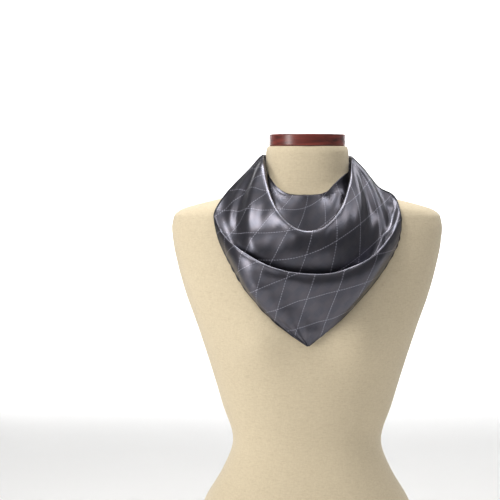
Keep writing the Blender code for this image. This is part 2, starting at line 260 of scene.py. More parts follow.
def makeSatin(name, lattice, weave, shade=1.0, withLines=True):
    look, tree, shader = newMaterial(name)
    if withLines:
        cloth = addNode(tree, "ShaderNodeUVMap", uv_map="flatCloth").outputs[0]
    else:
        cloth = tree.nodes.new("ShaderNodeTexCoord").outputs["Object"]
    silk = tree.nodes.new("ShaderNodeGroup")
    silk.node_tree = weave
    tree.links.new(cloth, silk.inputs[0])
    # a shade below 1 darkens the whole colour and so paints shade onto a darker copy of the satin
    deep = tuple(c * shade for c in satinLook["deep"])
    pale = tuple(c * shade for c in satinLook["pale"])
    base = colourMix(tree, silk.outputs["Streak"], deep, pale)
    if withLines:
        lines = tree.nodes.new("ShaderNodeGroup")
        lines.node_tree = lattice
        tree.links.new(cloth, lines.inputs[0])
        tint = mathNode(tree, "MULTIPLY", lines.outputs["Check"], satinLook["checkShare"])
        base = colourMix(tree, tint, base, satinLook["check"])
        base = colourMix(tree, lines.outputs["Line"], base, satinLook["line"])
        metal = mathNode(tree, "MULTIPLY", mathNode(tree, "SUBTRACT", 1.0, lines.outputs["Line"]),
                         satinLook["metallic"])
        tree.links.new(metal, shader.inputs["Metallic"])
    else:
        shader.inputs["Metallic"].default_value = satinLook["metallic"]
    tree.links.new(base, shader.inputs["Base Color"])
    shader.inputs["Roughness"].default_value = satinLook["roughness"]
    shader.inputs["Anisotropic"].default_value = satinLook["anisotropic"]
    shader.inputs["Specular IOR Level"].default_value = satinLook["specular"]
    shader.inputs["Sheen Weight"].default_value = satinLook["sheen"]
    shader.inputs["Sheen Roughness"].default_value = satinLook["sheenRoughness"]
    if withLines:
        grain = addNode(tree, "ShaderNodeTangent", direction_type="UV_MAP", uv_map="flatCloth")
        tree.links.new(grain.outputs[0], shader.inputs["Tangent"])
    bump = tree.nodes.new("ShaderNodeBump")
    bump.inputs["Strength"].default_value = satinLook["bump"]
    bump.inputs["Distance"].default_value = satinLook["bumpDepth"]
    tree.links.new(silk.outputs["Height"], bump.inputs["Height"])
    tree.links.new(bump.outputs[0], shader.inputs["Normal"])
    return look


linenLook = dict(pale=(0.97, 0.85, 0.63), mid=(0.70, 0.575, 0.385), slub=(0.60, 0.48, 0.30),
                 threads=520.0, roughness=0.92, sheen=0.25, bump=0.5,
                 specular=0.25, bumpDepth=0.0006, slubShare=0.25, cloudShare=0.14, cloudScale=16.0,
                 shade=(0.74, 0.62, 0.42))


def makeLinen():
    look, tree, shader = newMaterial("linenCover")
    place = tree.nodes.new("ShaderNodeTexCoord").outputs["Object"]
    threads = linenLook["threads"]
    across = noiseNode(tree, scaledVector(tree, place, (210.0, 210.0, threads)), 1.0, 2.0)
    upright = noiseNode(tree, scaledVector(tree, place, (threads, threads, 190.0)), 1.0, 2.0)
    slub = noiseNode(tree, scaledVector(tree, place, (110.0, 110.0, 640.0)), 1.0, 2.0, 0.6)
    cloud = noiseNode(tree, place, linenLook["cloudScale"], 4.0)
    weave = mathNode(tree, "ADD", mathNode(tree, "MULTIPLY", across, 0.55),
                     mathNode(tree, "MULTIPLY", upright, 0.45))
    base = colourMix(tree, weave, linenLook["mid"], linenLook["pale"])
    thick = addNode(tree, "ShaderNodeMapRange")
    thick.inputs["From Min"].default_value = 0.56
    thick.inputs["From Max"].default_value = 0.72
    tree.links.new(slub, thick.inputs["Value"])
    base = colourMix(tree, mathNode(tree, "MULTIPLY", thick.outputs[0], linenLook["slubShare"]), base,
                     linenLook["slub"])
    base = colourMix(tree, mathNode(tree, "MULTIPLY", cloud, linenLook["cloudShare"]), base,
                     linenLook["shade"])
    tree.links.new(base, shader.inputs["Base Color"])
    shader.inputs["Roughness"].default_value = linenLook["roughness"]
    shader.inputs["Sheen Weight"].default_value = linenLook["sheen"]
    shader.inputs["Specular IOR Level"].default_value = linenLook["specular"]
    bump = tree.nodes.new("ShaderNodeBump")
    bump.inputs["Strength"].default_value = linenLook["bump"]
    bump.inputs["Distance"].default_value = linenLook["bumpDepth"]
    height = mathNode(tree, "ADD", weave, mathNode(tree, "MULTIPLY", thick.outputs[0], 0.5))
    tree.links.new(height, bump.inputs["Height"])
    tree.links.new(bump.outputs[0], shader.inputs["Normal"])
    return look


woodLook = dict(dark=(0.045, 0.008, 0.006), red=(0.34, 0.052, 0.034),
                roughness=0.36, coat=0.6, coatRoughness=0.26, poreShare=0.25, bump=0.08, bumpDepth=0.0003)


def makeMahogany():
    look, tree, shader = newMaterial("mahogany")
    place = tree.nodes.new("ShaderNodeTexCoord").outputs["Object"]
    long = scaledVector(tree, place, (9.0, 60.0, 240.0))
    grain = noiseNode(tree, long, 1.0, 6.0, 0.62)
    pores = noiseNode(tree, scaledVector(tree, place, (70.0, 900.0, 900.0)), 1.0, 2.0)
    spread = addNode(tree, "ShaderNodeMapRange")
    spread.inputs["From Min"].default_value = 0.32
    spread.inputs["From Max"].default_value = 0.68
    tree.links.new(grain, spread.inputs["Value"])
    base = colourMix(tree, spread.outputs[0], woodLook["dark"], woodLook["red"])
    base = colourMix(tree, mathNode(tree, "MULTIPLY", pores, woodLook["poreShare"]), base,
                     woodLook["dark"])
    tree.links.new(base, shader.inputs["Base Color"])
    shader.inputs["Roughness"].default_value = woodLook["roughness"]
    shader.inputs["Coat Weight"].default_value = woodLook["coat"]
    shader.inputs["Coat Roughness"].default_value = woodLook["coatRoughness"]
    bump = tree.nodes.new("ShaderNodeBump")
    bump.inputs["Strength"].default_value = woodLook["bump"]
    bump.inputs["Distance"].default_value = woodLook["bumpDepth"]
    tree.links.new(pores, bump.inputs["Height"])
    tree.links.new(bump.outputs[0], shader.inputs["Normal"])
    return look


# dress form

formSizes = dict(exponent=2.2, around=160, rings=150, bustHeight=0.014, bustWidth=0.040,
                 bustX=0.074, bustZ=0.395, capRadius=0.0555, capY=0.0045, capZ=0.6703,
                 capHeight=0.0172, capRounding=0.0018)

# height, half width, front y, back y
formRings = (
    (0.0000, 0.1700, -0.1050, 0.1150),
    (0.0500, 0.1720, -0.1060, 0.1190),
    (0.1000, 0.1660, -0.1040, 0.1150),
    (0.1570, 0.1480, -0.1000, 0.0990),
    (0.2000, 0.1230, -0.0920, 0.0840),
    (0.2400, 0.1080, -0.0860, 0.0760),
    (0.3000, 0.1240, -0.0940, 0.0840),
    (0.3590, 0.1420, -0.1050, 0.0950),
    (0.4140, 0.1600, -0.1120, 0.1020),
    (0.4560, 0.1755, -0.1060, 0.1050),
    (0.5030, 0.1890, -0.0910, 0.1040),
    (0.5330, 0.1950, -0.0790, 0.0985),
    (0.5620, 0.1955, -0.0675, 0.0880),
    (0.5730, 0.1910, -0.0635, 0.0835),
    (0.5800, 0.1800, -0.0615, 0.0805),
    (0.5870, 0.1570, -0.0600, 0.0780),
    (0.5960, 0.1200, -0.0580, 0.0740),
    (0.6050, 0.0880, -0.0555, 0.0700),
    (0.6140, 0.0710, -0.0540, 0.0665),
    (0.6260, 0.0625, -0.0530, 0.0640),
    (0.6500, 0.0600, -0.0520, 0.0615),
    (0.6650, 0.0592, -0.0512, 0.0605),
    (0.6700, 0.0575, -0.0495, 0.0588),
)


def formSurface(heights, turns):
    # points on the form for arrays of heights and turns of the same length
    table = np.array(formRings)
    half, front, back = splineColumns(table[:, 0], table[:, 1:], heights).T
    middle = (front + back) / 2
    deep = (back - front) / 2
    power = 2 / formSizes["exponent"]
    c, s = np.cos(turns), np.sin(turns)
    x = half * np.sign(c) * np.abs(c) ** power
    y = middle + deep * np.sign(s) * np.abs(s) ** power
    across = (np.abs(x) - formSizes["bustX"]) / formSizes["bustWidth"]
    up = (heights - formSizes["bustZ"]) / formSizes["bustWidth"]
    ahead = np.clip((middle - y) / deep, 0, None)
    y = y - formSizes["bustHeight"] * np.exp(-(across ** 2 + up ** 2)) * ahead
    return np.stack([x, y, heights], axis=-1)


def buildFormTorso(look):
    table = np.array(formRings)
    share = np.linspace(0, len(table) - 1, formSizes["rings"])
    heights = np.interp(share, np.arange(len(table)), table[:, 0])
    turns = np.linspace(0, 2 * math.pi, formSizes["around"], endpoint=False)
    allHeights = np.repeat(heights, len(turns))
    points = formSurface(allHeights, np.tile(turns, len(heights)))
    faces = ringFaces(len(heights), len(turns))
    last = (len(heights) - 1) * len(turns)
    faces.append(tuple(range(len(turns)))[::-1])
    faces.append(tuple(last + k for k in range(len(turns))))
    made = addObject("formTorso", points, faces, look)
    turnOutward(made)
    for face in made.data.polygons[-2:]:
        face.use_smooth = False
    surface = treeOf(points, faces)
    return made, surface


def buildFormNeckCap(look):
    top = formSizes["capZ"] + formSizes["capHeight"]
    rounding = formSizes["capRounding"]
    inner = formSizes["capRadius"] - rounding
    profile = [(0.0, formSizes["capZ"]), (inner * 0.5, formSizes["capZ"])]
    for k in range(7):
        a = math.radians(15 * k)
        profile.append((inner + rounding * math.sin(a), formSizes["capZ"] + rounding * (1 - math.cos(a))))
    for k in range(7):
        a = math.radians(15 * k)
        profile.append((inner + rounding * math.cos(a), top - rounding * (1 - math.sin(a))))
    profile += [(inner * 0.5, top), (0.0, top)]
    mesh = bpy.data.meshes.new("formNeckCap")
    mesh.from_pydata([(x, 0.0, z) for x, z in profile], [(k, k + 1) for k in range(len(profile) - 1)], [])
    mesh.materials.append(look)
    made = bpy.data.objects.new("formNeckCap", mesh)
    bpy.context.scene.collection.objects.link(made)
    turned = made.modifiers.new("turned", "SCREW")
    turned.steps = 144
    turned.render_steps = 144
    turned.use_merge_vertices = True
    turned.merge_threshold = 0.00001
    turned.use_normal_calculate = True
    bake(made)
    for corner in made.data.vertices:
        corner.co.y += formSizes["capY"]
    made.data.polygons.foreach_set("use_smooth", [True] * len(made.data.polygons))
    return made


# silk square

scarfSizes = dict(foldLength=0.75, foldDepth=0.375, thickness=0.0005, clearance=0.0006,
                  rows=150, columns=170, bandSteps=46, knotEntryX=0.0110, gatherHeight=0.6330,
                  gatherShare=0.60, pleatDepth=0.0011, pleatWave=0.019, tiedArea=0.029, bandLift=0.004)

# depth down the middle, middle x y z, left end x y z, right end x y z,
# sweep towards the left and the right end in degrees, lag of the fall backwards
scarfLines = np.array((
    (0.000, -0.006, -0.0600, 0.6015, -0.0612, 0.004, 0.6480, 0.0620, 0.004, 0.6460, 88, 60, 1.0),
    (0.032, -0.006, -0.0780, 0.5750, -0.0613, 0.004, 0.6400, 0.0622, 0.004, 0.6390, 88, 72, 1.35),
    (0.064, -0.005, -0.0950, 0.5470, -0.0616, 0.003, 0.6310, 0.0625, 0.003, 0.6300, 88, 80, 1.6),
    (0.088, -0.004, -0.1040, 0.5250, -0.0622, 0.002, 0.6240, 0.0632, 0.002, 0.6230, 88, 84, 2.3),
    (0.110, -0.004, -0.1120, 0.5440, -0.0630, 0.001, 0.6350, 0.0638, 0.001, 0.6340, 89, 86, 1.6),
    (0.124, -0.004, -0.1190, 0.5555, -0.0632, -0.001, 0.6545, 0.0636, 0.000, 0.6525, 88, 80, 1.2),
    (0.134, -0.004, -0.1250, 0.5490, -0.0645, -0.002, 0.6565, 0.0645, -0.001, 0.6540, 88, 80, 1.25),
    (0.158, -0.003, -0.1290, 0.5270, -0.0816, -0.006, 0.6390, 0.0800, -0.006, 0.6380, 84, 78, 1.5),
    (0.190, 0.000, -0.1240, 0.4980, -0.1149, -0.022, 0.6050, 0.1010, -0.020, 0.6120, 75, 74, 1.6),
    (0.225, 0.003, -0.1190, 0.4660, -0.1331, -0.0530, 0.5758, 0.1250, -0.0300, 0.5960, 62, 66, 1.5),
    (0.246, 0.005, -0.1320, 0.4850, -0.1330, -0.0600, 0.5640, 0.1297, -0.0550, 0.5752, 58, 60, 1.3),
    (0.260, 0.006, -0.1395, 0.4965, -0.1315, -0.0640, 0.5560, 0.1305, -0.0605, 0.5640, 54, 56, 1.3),
    (0.271, 0.006, -0.1440, 0.4880, -0.1290, -0.0680, 0.5450, 0.1289, -0.0655, 0.5492, 50, 52, 1.3),
    (0.298, 0.004, -0.1400, 0.4620, -0.1161, -0.0785, 0.5156, 0.1189, -0.0755, 0.5210, 40, 42, 1.3),
    (0.334, 0.001, -0.1300, 0.4300, -0.0804, -0.1030, 0.4622, 0.0783, -0.1025, 0.4669, 28, 30, 1.2),
    (0.360, -0.002, -0.1225, 0.4060, -0.0308, -0.1190, 0.4128, 0.0296, -0.1190, 0.4197, 18, 18, 1.0),
    (0.375, -0.0028, -0.1180, 0.3932, -0.0032, -0.1180, 0.3934, -0.0024, -0.1180, 0.3934, 10, 10, 1.0),
))

# depth down the middle, offset from the neck, height at the nape
bandLines = np.array((
    (0.000, 0.0012, 0.6480),
    (0.032, 0.0012, 0.6390),
    (0.064, 0.0016, 0.6270),
    (0.088, 0.0040, 0.6205),
    (0.110, 0.0068, 0.6290),
    (0.124, 0.0072, 0.6420),
    (0.134, 0.0076, 0.6500),
))

# start depth and across, middle depth and across, end depth and across, width, height
scarfCreases = (
    (0.134, -0.96, 0.168, -0.80, 0.198, -0.46, 0.0120, 0.0068),
    (0.134, -0.99, 0.176, -0.93, 0.200, -0.70, 0.0070, -0.0035),
    (0.140, -0.99, 0.185, -0.95, 0.205, -0.78, 0.0060, 0.0025),
    (0.150, 0.97, 0.205, 0.90, 0.242, 0.68, 0.0085, 0.0060),
    (0.145, 0.96, 0.180, 0.88, 0.203, 0.60, 0.0070, -0.0040),
    (0.140, 0.90, 0.165, 0.72, 0.185, 0.45, 0.0070, 0.0020),
    (0.324, -0.95, 0.306, -0.60, 0.287, -0.30, 0.0050, 0.0012),
    (0.335, -0.95, 0.320, -0.50, 0.310, -0.10, 0.0050, -0.0010),
    (0.278, -0.80, 0.312, -0.68, 0.350, -0.50, 0.0170, 0.0076),
    (0.290, -0.22, 0.318, -0.12, 0.350, 0.10, 0.0160, -0.0048),
    (0.285, 0.55, 0.310, 0.48, 0.345, 0.36, 0.0150, 0.0030),
)

# how far the neckline rises or drops from its even curve, left to right
necklineShift = np.array((
    (-1.0, 0.0), (-0.62, 0.0), (-0.5, -0.0026), (-0.4, -0.0040), (-0.3, -0.0036), (-0.2, -0.0019),
    (0.0, 0.0), (0.2, -0.0016), (0.3, -0.0038), (0.4, -0.0042), (0.5, 0.0006), (0.6, 0.0036),
    (0.7, 0.0034), (0.8, 0.0004), (0.9, -0.0030), (1.0, 0.0),
))

# small gathers along a cut edge: depth, across, half extents, wave length, height
hemPuckers = (
    (0.320, -1.0, 0.018, 0.26, 0.0085, 0.0009),
    (0.345, -1.0, 0.014, 0.20, 0.0100, 0.0008),
    (0.290, 1.0, 0.030, 0.10, 0.0110, 0.0006),
    (0.364, 0.3, 0.006, 0.90, 0.0060, 0.0009),
)

# slack ripples over the whole front: share across, share down, wave length, height
clothRipples = (
    (0.11, 0.16, 0.036, 0.00030),
    (0.13, -0.10, 0.052, 0.00055),
    (0.14, 0.05, 0.019, 0.00010),
)


def scarfFront(depth, across):
    row = splineColumns(scarfLines[:, 0], scarfLines[:, 1:], depth)
    left = (across < 0)[:, None]
    end = np.where(left, row[:, 3:6], row[:, 6:9])
    sweep = np.radians(np.where(left[:, 0], row[:, 9], row[:, 10]))
    turn = np.abs(across) * sweep
    out = np.sin(turn) / np.sin(sweep)
    rise = (1 - np.cos(turn)) / (1 - np.cos(sweep))
    x = row[:, 0] + (end[:, 0] - row[:, 0]) * out
    y = row[:, 1] + (end[:, 1] - row[:, 1]) * rise ** row[:, 11]
    z = row[:, 2] + (end[:, 2] - row[:, 2]) * rise
    fade = np.clip(1 - depth / 0.045, 0, 1) ** 2
    z = z + fade * np.interp(across, necklineShift[:, 0], necklineShift[:, 1])
    return np.stack([x, y, z], axis=-1)


def scarfBand(depth, along, side):
    start = scarfFront(depth, np.full_like(depth, side))
    offset, napeHeight = splineColumns(bandLines[:, 0], bandLines[:, 1:], depth).T
    blend = along ** 2 * (3 - 2 * along)
    height = start[:, 2] + (napeHeight - start[:, 2]) * blend
    height = height + scarfSizes["bandLift"] * np.sin(math.pi * along)
    gather = np.clip((along - 0.62) / 0.38, 0, 1) ** 1.6
    height = height + scarfSizes["gatherShare"] * gather * (scarfSizes["gatherHeight"] - height)
    offset = offset + scarfSizes["pleatDepth"] * gather * (
        1 + np.sin(2 * math.pi * depth / scarfSizes["pleatWave"]))
    low = np.minimum(height, 0.664)
    neck = formSurface(low, np.zeros_like(low))
    back = formSurface(low, np.full_like(low, math.pi / 2))
    front = formSurface(low, np.full_like(low, -math.pi / 2))
    middle = (back[:, 1] + front[:, 1]) / 2
    first = np.arcsin(np.clip((start[:, 1] - middle) / (back[:, 1] - middle), -1, 1))
    last = np.arccos(scarfSizes["knotEntryX"] / (neck[:, 0] + offset))
    turn = first + (last - first) * along
    wide = np.abs(start[:, 0]) / np.cos(first)
    wide = wide + (neck[:, 0] + offset - wide) * np.minimum(1.0, 4 * along)
    deep = back[:, 1] - middle + offset
    return np.stack([side * wide * np.cos(turn), middle + deep * np.sin(turn), height], axis=-1)


def depthSamples(count):
    # even steps of surface length down the middle, so that folds stay round
    fine = np.linspace(0, scarfLines[-1, 0] - 0.0004, 1200)
    line = scarfFront(fine, np.zeros_like(fine))
    length = np.concatenate([[0], np.cumsum(np.linalg.norm(np.diff(line, axis=0), axis=1))])
    return np.interp(np.linspace(0, length[-1], count), length, fine)


def clearOfForm(points, surface, clearance):
    for k in range(len(points)):
        spot = Vector(points[k])
        near, normal, _, _ = surface.find_nearest(spot)
        gap = (spot - near).dot(normal)
        if gap < clearance:
            points[k] = np.array(spot + normal * (clearance - gap))
    return points


def smoothGrid(grid, rounds, strength):
    # relaxes a grid of points, edges kept where they are
    for _ in range(rounds):
        inner = (grid[:-2, 1:-1] + grid[2:, 1:-1] + grid[1:-1, :-2] + grid[1:-1, 2:]) / 4
        grid[1:-1, 1:-1] += strength * (inner - grid[1:-1, 1:-1])
    return grid


def gridNormals(grid):
    du = np.gradient(grid, axis=1)
    dv = np.gradient(grid, axis=0)
    normal = np.cross(dv, du)
    size = np.linalg.norm(normal, axis=-1, keepdims=True)
    return normal / np.maximum(size, 1e-12)


def addCreases(grid, depths, acrosses):
    normals = gridNormals(grid)
    lift = np.zeros(grid.shape[:2])
    for d0, a0, d1, a1, d2, a2, width, height in scarfCreases:
        t = np.linspace(0, 1, 60)
        depth = (1 - t) ** 2 * d0 + 2 * t * (1 - t) * d1 + t ** 2 * d2
        across = (1 - t) ** 2 * a0 + 2 * t * (1 - t) * a1 + t ** 2 * a2
        line = scarfFront(depth, across)
        near = np.full(grid.shape[:2], 1.0)
        fade = np.zeros(grid.shape[:2])
        window = (depths > min(d0, d1, d2) - 0.03) & (depths < max(d0, d1, d2) + 0.03)
        part = grid[window]
        far = np.linalg.norm(part[:, :, None, :] - line[None, None, :, :], axis=-1)
        spot = far.argmin(axis=-1)
        near[window] = far.min(axis=-1)
        fade[window] = np.sin(math.pi * np.clip(0.08 + 0.92 * t[spot], 0, 1)) ** 0.7
        lift += height * fade * np.exp(-(near / width) ** 2)
    for along, slant, wave, height in clothRipples:
        beat = np.sin(2 * math.pi * (acrosses[None, :] * along + depths[:, None] * slant) / wave)
        hold = 1 - np.abs(acrosses[None, :]) ** 6
        lift += height * hold * beat * np.clip((depths[:, None] - 0.13) / 0.02, 0, 1)
    for d0, a0, deep, wide, wave, height in hemPuckers:
        window = np.exp(-((depths[:, None] - d0) / deep) ** 2 - ((acrosses[None, :] - a0) / wide) ** 2)
        beat = np.sin(2 * math.pi * (depths[:, None] + 0.02 * acrosses[None, :]) / wave)
        lift += height * window * beat
    return grid + normals * lift[:, :, None]


def buildScarfCloth(look, surface):
    depths = depthSamples(scarfSizes["rows"])
    acrosses = np.linspace(-1, 1, scarfSizes["columns"])
    d, a = np.meshgrid(depths, acrosses, indexing="ij")
    grid = scarfFront(d.ravel(), a.ravel()).reshape(*d.shape, 3)
    grid = addCreases(grid, depths, acrosses)
    banded = depths <= bandLines[-1, 0]
    rows = int(banded.sum())
    steps = np.linspace(0, 1, scarfSizes["bandSteps"])[1:]
    bd, bs = np.meshgrid(depths[:rows], steps, indexing="ij")
    left = scarfBand(bd.ravel(), bs.ravel(), -1).reshape(*bd.shape, 3)[:, ::-1]
    right = scarfBand(bd.ravel(), bs.ravel(), 1).reshape(*bd.shape, 3)
    upper = np.concatenate([left, grid[:rows], right], axis=1)
    upper = smoothGrid(upper, 10, 0.5)
    extra = left.shape[1]
    grid[:rows] = upper[:, extra:extra + grid.shape[1]]
    grid = smoothGrid(grid, 4, 0.5)
    upper[:, extra:extra + grid.shape[1]] = grid[:rows]
    points = np.concatenate([upper.reshape(-1, 3), grid[rows:].reshape(-1, 3)])
    wide = upper.shape[1]
    faces = gridFaces(rows, wide)
    for r in range(rows - 1, len(depths) - 1):
        for k in range(grid.shape[1] - 1):
            if r == rows - 1:
                a0, b0 = (rows - 1) * wide + extra, rows * wide
            else:
                a0 = rows * wide + (r - rows) * grid.shape[1]
                b0 = a0 + grid.shape[1]
            faces.append((a0 + k, a0 + k + 1, b0 + k + 1, b0 + k))
    points = clearOfForm(points, surface, scarfSizes["clearance"])
    made = addObject("scarfCloth", points, faces, look)
    lowerStart = rows * wide
    hems = {}
    for side, column in ((-1, 0), (1, grid.shape[1] - 1)):
        upperEdge = (rows - 1) * wide + extra + column
        hems[side] = [upperEdge] + [lowerStart + r * grid.shape[1] + column
                                    for r in range(len(depths) - rows)]
    return made, hems


def layFlat(made, hems):
    # unrolls the cloth and gives it the square's own metres, from the front corner
    bpy.context.view_layer.objects.active = made
    made.select_set(True)
    made.data.uv_layers.new(name="flatCloth")
    bpy.ops.object.mode_set(mode="EDIT")
    bpy.ops.mesh.select_all(action="SELECT")
    bpy.ops.uv.unwrap(method="MINIMUM_STRETCH", margin=0.0, iterations=12)
    bpy.ops.object.mode_set(mode="OBJECT")
    made.select_set(False)
    mesh = made.data
    loops = np.zeros(len(mesh.loops), int)
    mesh.loops.foreach_get("vertex_index", loops)
    flat = np.zeros(len(mesh.loops) * 2)
    mesh.uv_layers["flatCloth"].data.foreach_get("uv", flat)
    flat = flat.reshape(-1, 2)
    spot = np.zeros((len(mesh.vertices), 2))
    spot[loops] = flat
    place = np.zeros(len(mesh.vertices) * 3)
    mesh.vertices.foreach_get("co", place)
    place = place.reshape(-1, 3)
    left, right = np.array(hems[-1]), np.array(hems[1])
    real = sum(np.linalg.norm(np.diff(place[e], axis=0), axis=1).sum() for e in (left, right))
    drawn = sum(np.linalg.norm(np.diff(spot[e], axis=0), axis=1).sum() for e in (left, right))
    scale = real / drawn
    origin = (spot[left[-1]] + spot[right[-1]]) / 2
    third = len(right) * 2 // 3
    alongRight = spot[right[third]] - origin
    alongLeft = spot[left[third]] - origin
    flip = np.sign(alongRight[0] * alongLeft[1] - alongRight[1] * alongLeft[0])
    middle = alongRight / np.linalg.norm(alongRight) + alongLeft / np.linalg.norm(alongLeft)
    middle = middle / np.linalg.norm(middle)
    side = np.array([middle[1], -middle[0]]) * flip
    u = ((spot - origin) @ (middle + side)) / math.sqrt(2) * scale
    v = ((spot - origin) @ (middle - side)) / math.sqrt(2) * scale
    spot = np.stack([u, v], axis=-1)
    mesh.uv_layers["flatCloth"].data.foreach_set("uv", spot[loops].ravel())
    return spot


def thicken(made, thickness):
    wall = made.modifiers.new("wall", "SOLIDIFY")
    wall.thickness = thickness
    wall.offset = 0.0
    wall.use_even_offset = False
    return bake(made)


# rolled hem

hemSizes = dict(step=0.0014, noiseScale=170.0, sides=10, stitchLift=1.28, radius=0.0009,
                pucker=0.22, stitchGap=0.0042, stitchLength=0.0011, seed=3)


def makeHemTree(look):
    # a roll that follows an edge, unevenly drawn in, with a small stitch at every step
    tree = bpy.data.node_groups.new("rolledHem", "GeometryNodeTree")
    for name, kind in (("Geometry", "NodeSocketGeometry"), ("Radius", "NodeSocketFloat"),
                       ("Pucker", "NodeSocketFloat"), ("Stitch Gap", "NodeSocketFloat"),
                       ("Stitch Length", "NodeSocketFloat"), ("Seed", "NodeSocketFloat")):
        tree.interface.new_socket(name, in_out="INPUT", socket_type=kind)
    tree.interface.new_socket("Geometry", in_out="OUTPUT", socket_type="NodeSocketGeometry")
    link = tree.links.new
    inside = tree.nodes.new("NodeGroupInput")
    outside = tree.nodes.new("NodeGroupOutput")
    path = tree.nodes.new("GeometryNodeMeshToCurve")
    link(inside.outputs["Geometry"], path.inputs["Mesh"])
    fine = addNode(tree, "GeometryNodeResampleCurve", mode="LENGTH")
    fine.inputs["Length"].default_value = hemSizes["step"]
    link(path.outputs[0], fine.inputs["Curve"])
    noise = addNode(tree, "ShaderNodeTexNoise", noise_dimensions="4D")
    noise.inputs["Scale"].default_value = hemSizes["noiseScale"]
    link(inside.outputs["Seed"], noise.inputs["W"])
    swing = mathNode(tree, "SUBTRACT", noise.outputs[0], 0.5)
    swing = mathNode(tree, "MULTIPLY", swing, inside.outputs["Pucker"])
    swing = mathNode(tree, "MULTIPLY", swing, 4.0)
    size = mathNode(tree, "MULTIPLY", mathNode(tree, "ADD", swing, 1.0), inside.outputs["Radius"])
    fat = tree.nodes.new("GeometryNodeSetCurveRadius")
    link(fine.outputs[0], fat.inputs["Curve"])
    link(size, fat.inputs["Radius"])
    ring = tree.nodes.new("GeometryNodeCurvePrimitiveCircle")
    ring.inputs["Resolution"].default_value = hemSizes["sides"]
    ring.inputs["Radius"].default_value = 1.0
    roll = tree.nodes.new("GeometryNodeCurveToMesh")
    link(fat.outputs[0], roll.inputs["Curve"])
    link(ring.outputs[0], roll.inputs["Profile Curve"])
    if "Scale" in roll.inputs:
        link(size, roll.inputs["Scale"])
    roll.inputs["Fill Caps"].default_value = True
    steps = addNode(tree, "GeometryNodeResampleCurve", mode="LENGTH")
    link(path.outputs[0], steps.inputs["Curve"])
    link(inside.outputs["Stitch Gap"], steps.inputs["Length"])
    bead = tree.nodes.new("GeometryNodeMeshUVSphere")
    bead.inputs["Segments"].default_value = 8
    bead.inputs["Rings"].default_value = 5
    bead.inputs["Radius"].default_value = 1.0
    place = tree.nodes.new("GeometryNodeInstanceOnPoints")
    link(steps.outputs[0], place.inputs["Points"])
    link(bead.outputs[0], place.inputs["Instance"])
    tangent = tree.nodes.new("GeometryNodeInputTangent")
    turn = addNode(tree, "FunctionNodeAlignRotationToVector", axis="Z")
    link(tangent.outputs[0], turn.inputs["Vector"])
    link(turn.outputs[0], place.inputs["Rotation"])
    shape = tree.nodes.new("ShaderNodeCombineXYZ")
    thick = mathNode(tree, "MULTIPLY", inside.outputs["Radius"], hemSizes["stitchLift"])
    link(thick, shape.inputs[0])
    link(thick, shape.inputs[1])
    link(mathNode(tree, "MULTIPLY", inside.outputs["Stitch Length"], 0.35), shape.inputs[2])
    link(shape.outputs[0], place.inputs["Scale"])
    whole = tree.nodes.new("GeometryNodeJoinGeometry")
    link(roll.outputs[0], whole.inputs[0])
    link(place.outputs[0], whole.inputs[0])
    real = tree.nodes.new("GeometryNodeRealizeInstances")
    link(whole.outputs[0], real.inputs[0])
    soft = tree.nodes.new("GeometryNodeSetShadeSmooth")
    link(real.outputs[0], soft.inputs[0])
    dress = tree.nodes.new("GeometryNodeSetMaterial")
    dress.inputs["Material"].default_value = look
    link(soft.outputs[0], dress.inputs["Geometry"])
    link(dress.outputs[0], outside.inputs[0])
    return tree


def buildScarfHem(name, path, tree, look):
    mesh = bpy.data.meshes.new(name)
    mesh.from_pydata([tuple(p) for p in path], [(k, k + 1) for k in range(len(path) - 1)], [])
    mesh.materials.append(look)
    made = bpy.data.objects.new(name, mesh)
    bpy.context.scene.collection.objects.link(made)
    rule = made.modifiers.new("rolledHem", "NODES")
    rule.node_group = tree
    wanted = {"Radius": hemSizes["radius"], "Pucker": hemSizes["pucker"],
              "Stitch Gap": hemSizes["stitchGap"], "Stitch Length": hemSizes["stitchLength"],
              "Seed": float(hemSizes["seed"])}
    for item in tree.interface.items_tree:
        if item.item_type == "SOCKET" and item.in_out == "INPUT" and item.name in wanted:
            rule[item.identifier] = wanted[item.name]
    return bake(made)


# knot and free corners

knotSizes = dict(centreY=0.0765, centreZ=0.6330, halfX=0.0162, halfY=0.0112, halfZ=0.0134,
                 pleats=7, around=56, along=40, loopY=0.0088, loopZ=0.0106, loopHalfX=0.0072,
                 loopThick=0.0028, loopSides=26, loopSlant=0.0022, loopPleat=0.16,
                 pleatDepth=0.06, creaseDepth=0.03, waist=0.24, waistWidth=0.34, endSize=0.42)

# sideways, out from the nape, height, half width, depth of the fold
tailSections = np.array((
    (0.0068, 0.0765, 0.6180, 0.0052, 0.0030),
    (0.0105, 0.0850, 0.6110, 0.0080, 0.0036),
    (0.0165, 0.0935, 0.5960, 0.0115, 0.0040),
    (0.0235, 0.0985, 0.5790, 0.0155, 0.0038),
    (0.0290, 0.1020, 0.5640, 0.0170, 0.0030),
    (0.0325, 0.1045, 0.5550, 0.0145, 0.0022),
    (0.0345, 0.1060, 0.5500, 0.0080, 0.0014),
))
tailSizes = dict(rows=70, columns=44, thickness=0.0006, flatLength=0.078, flatWidth=0.040,
                 areaShare=0.7, ripple=0.0005, droop=0.25)


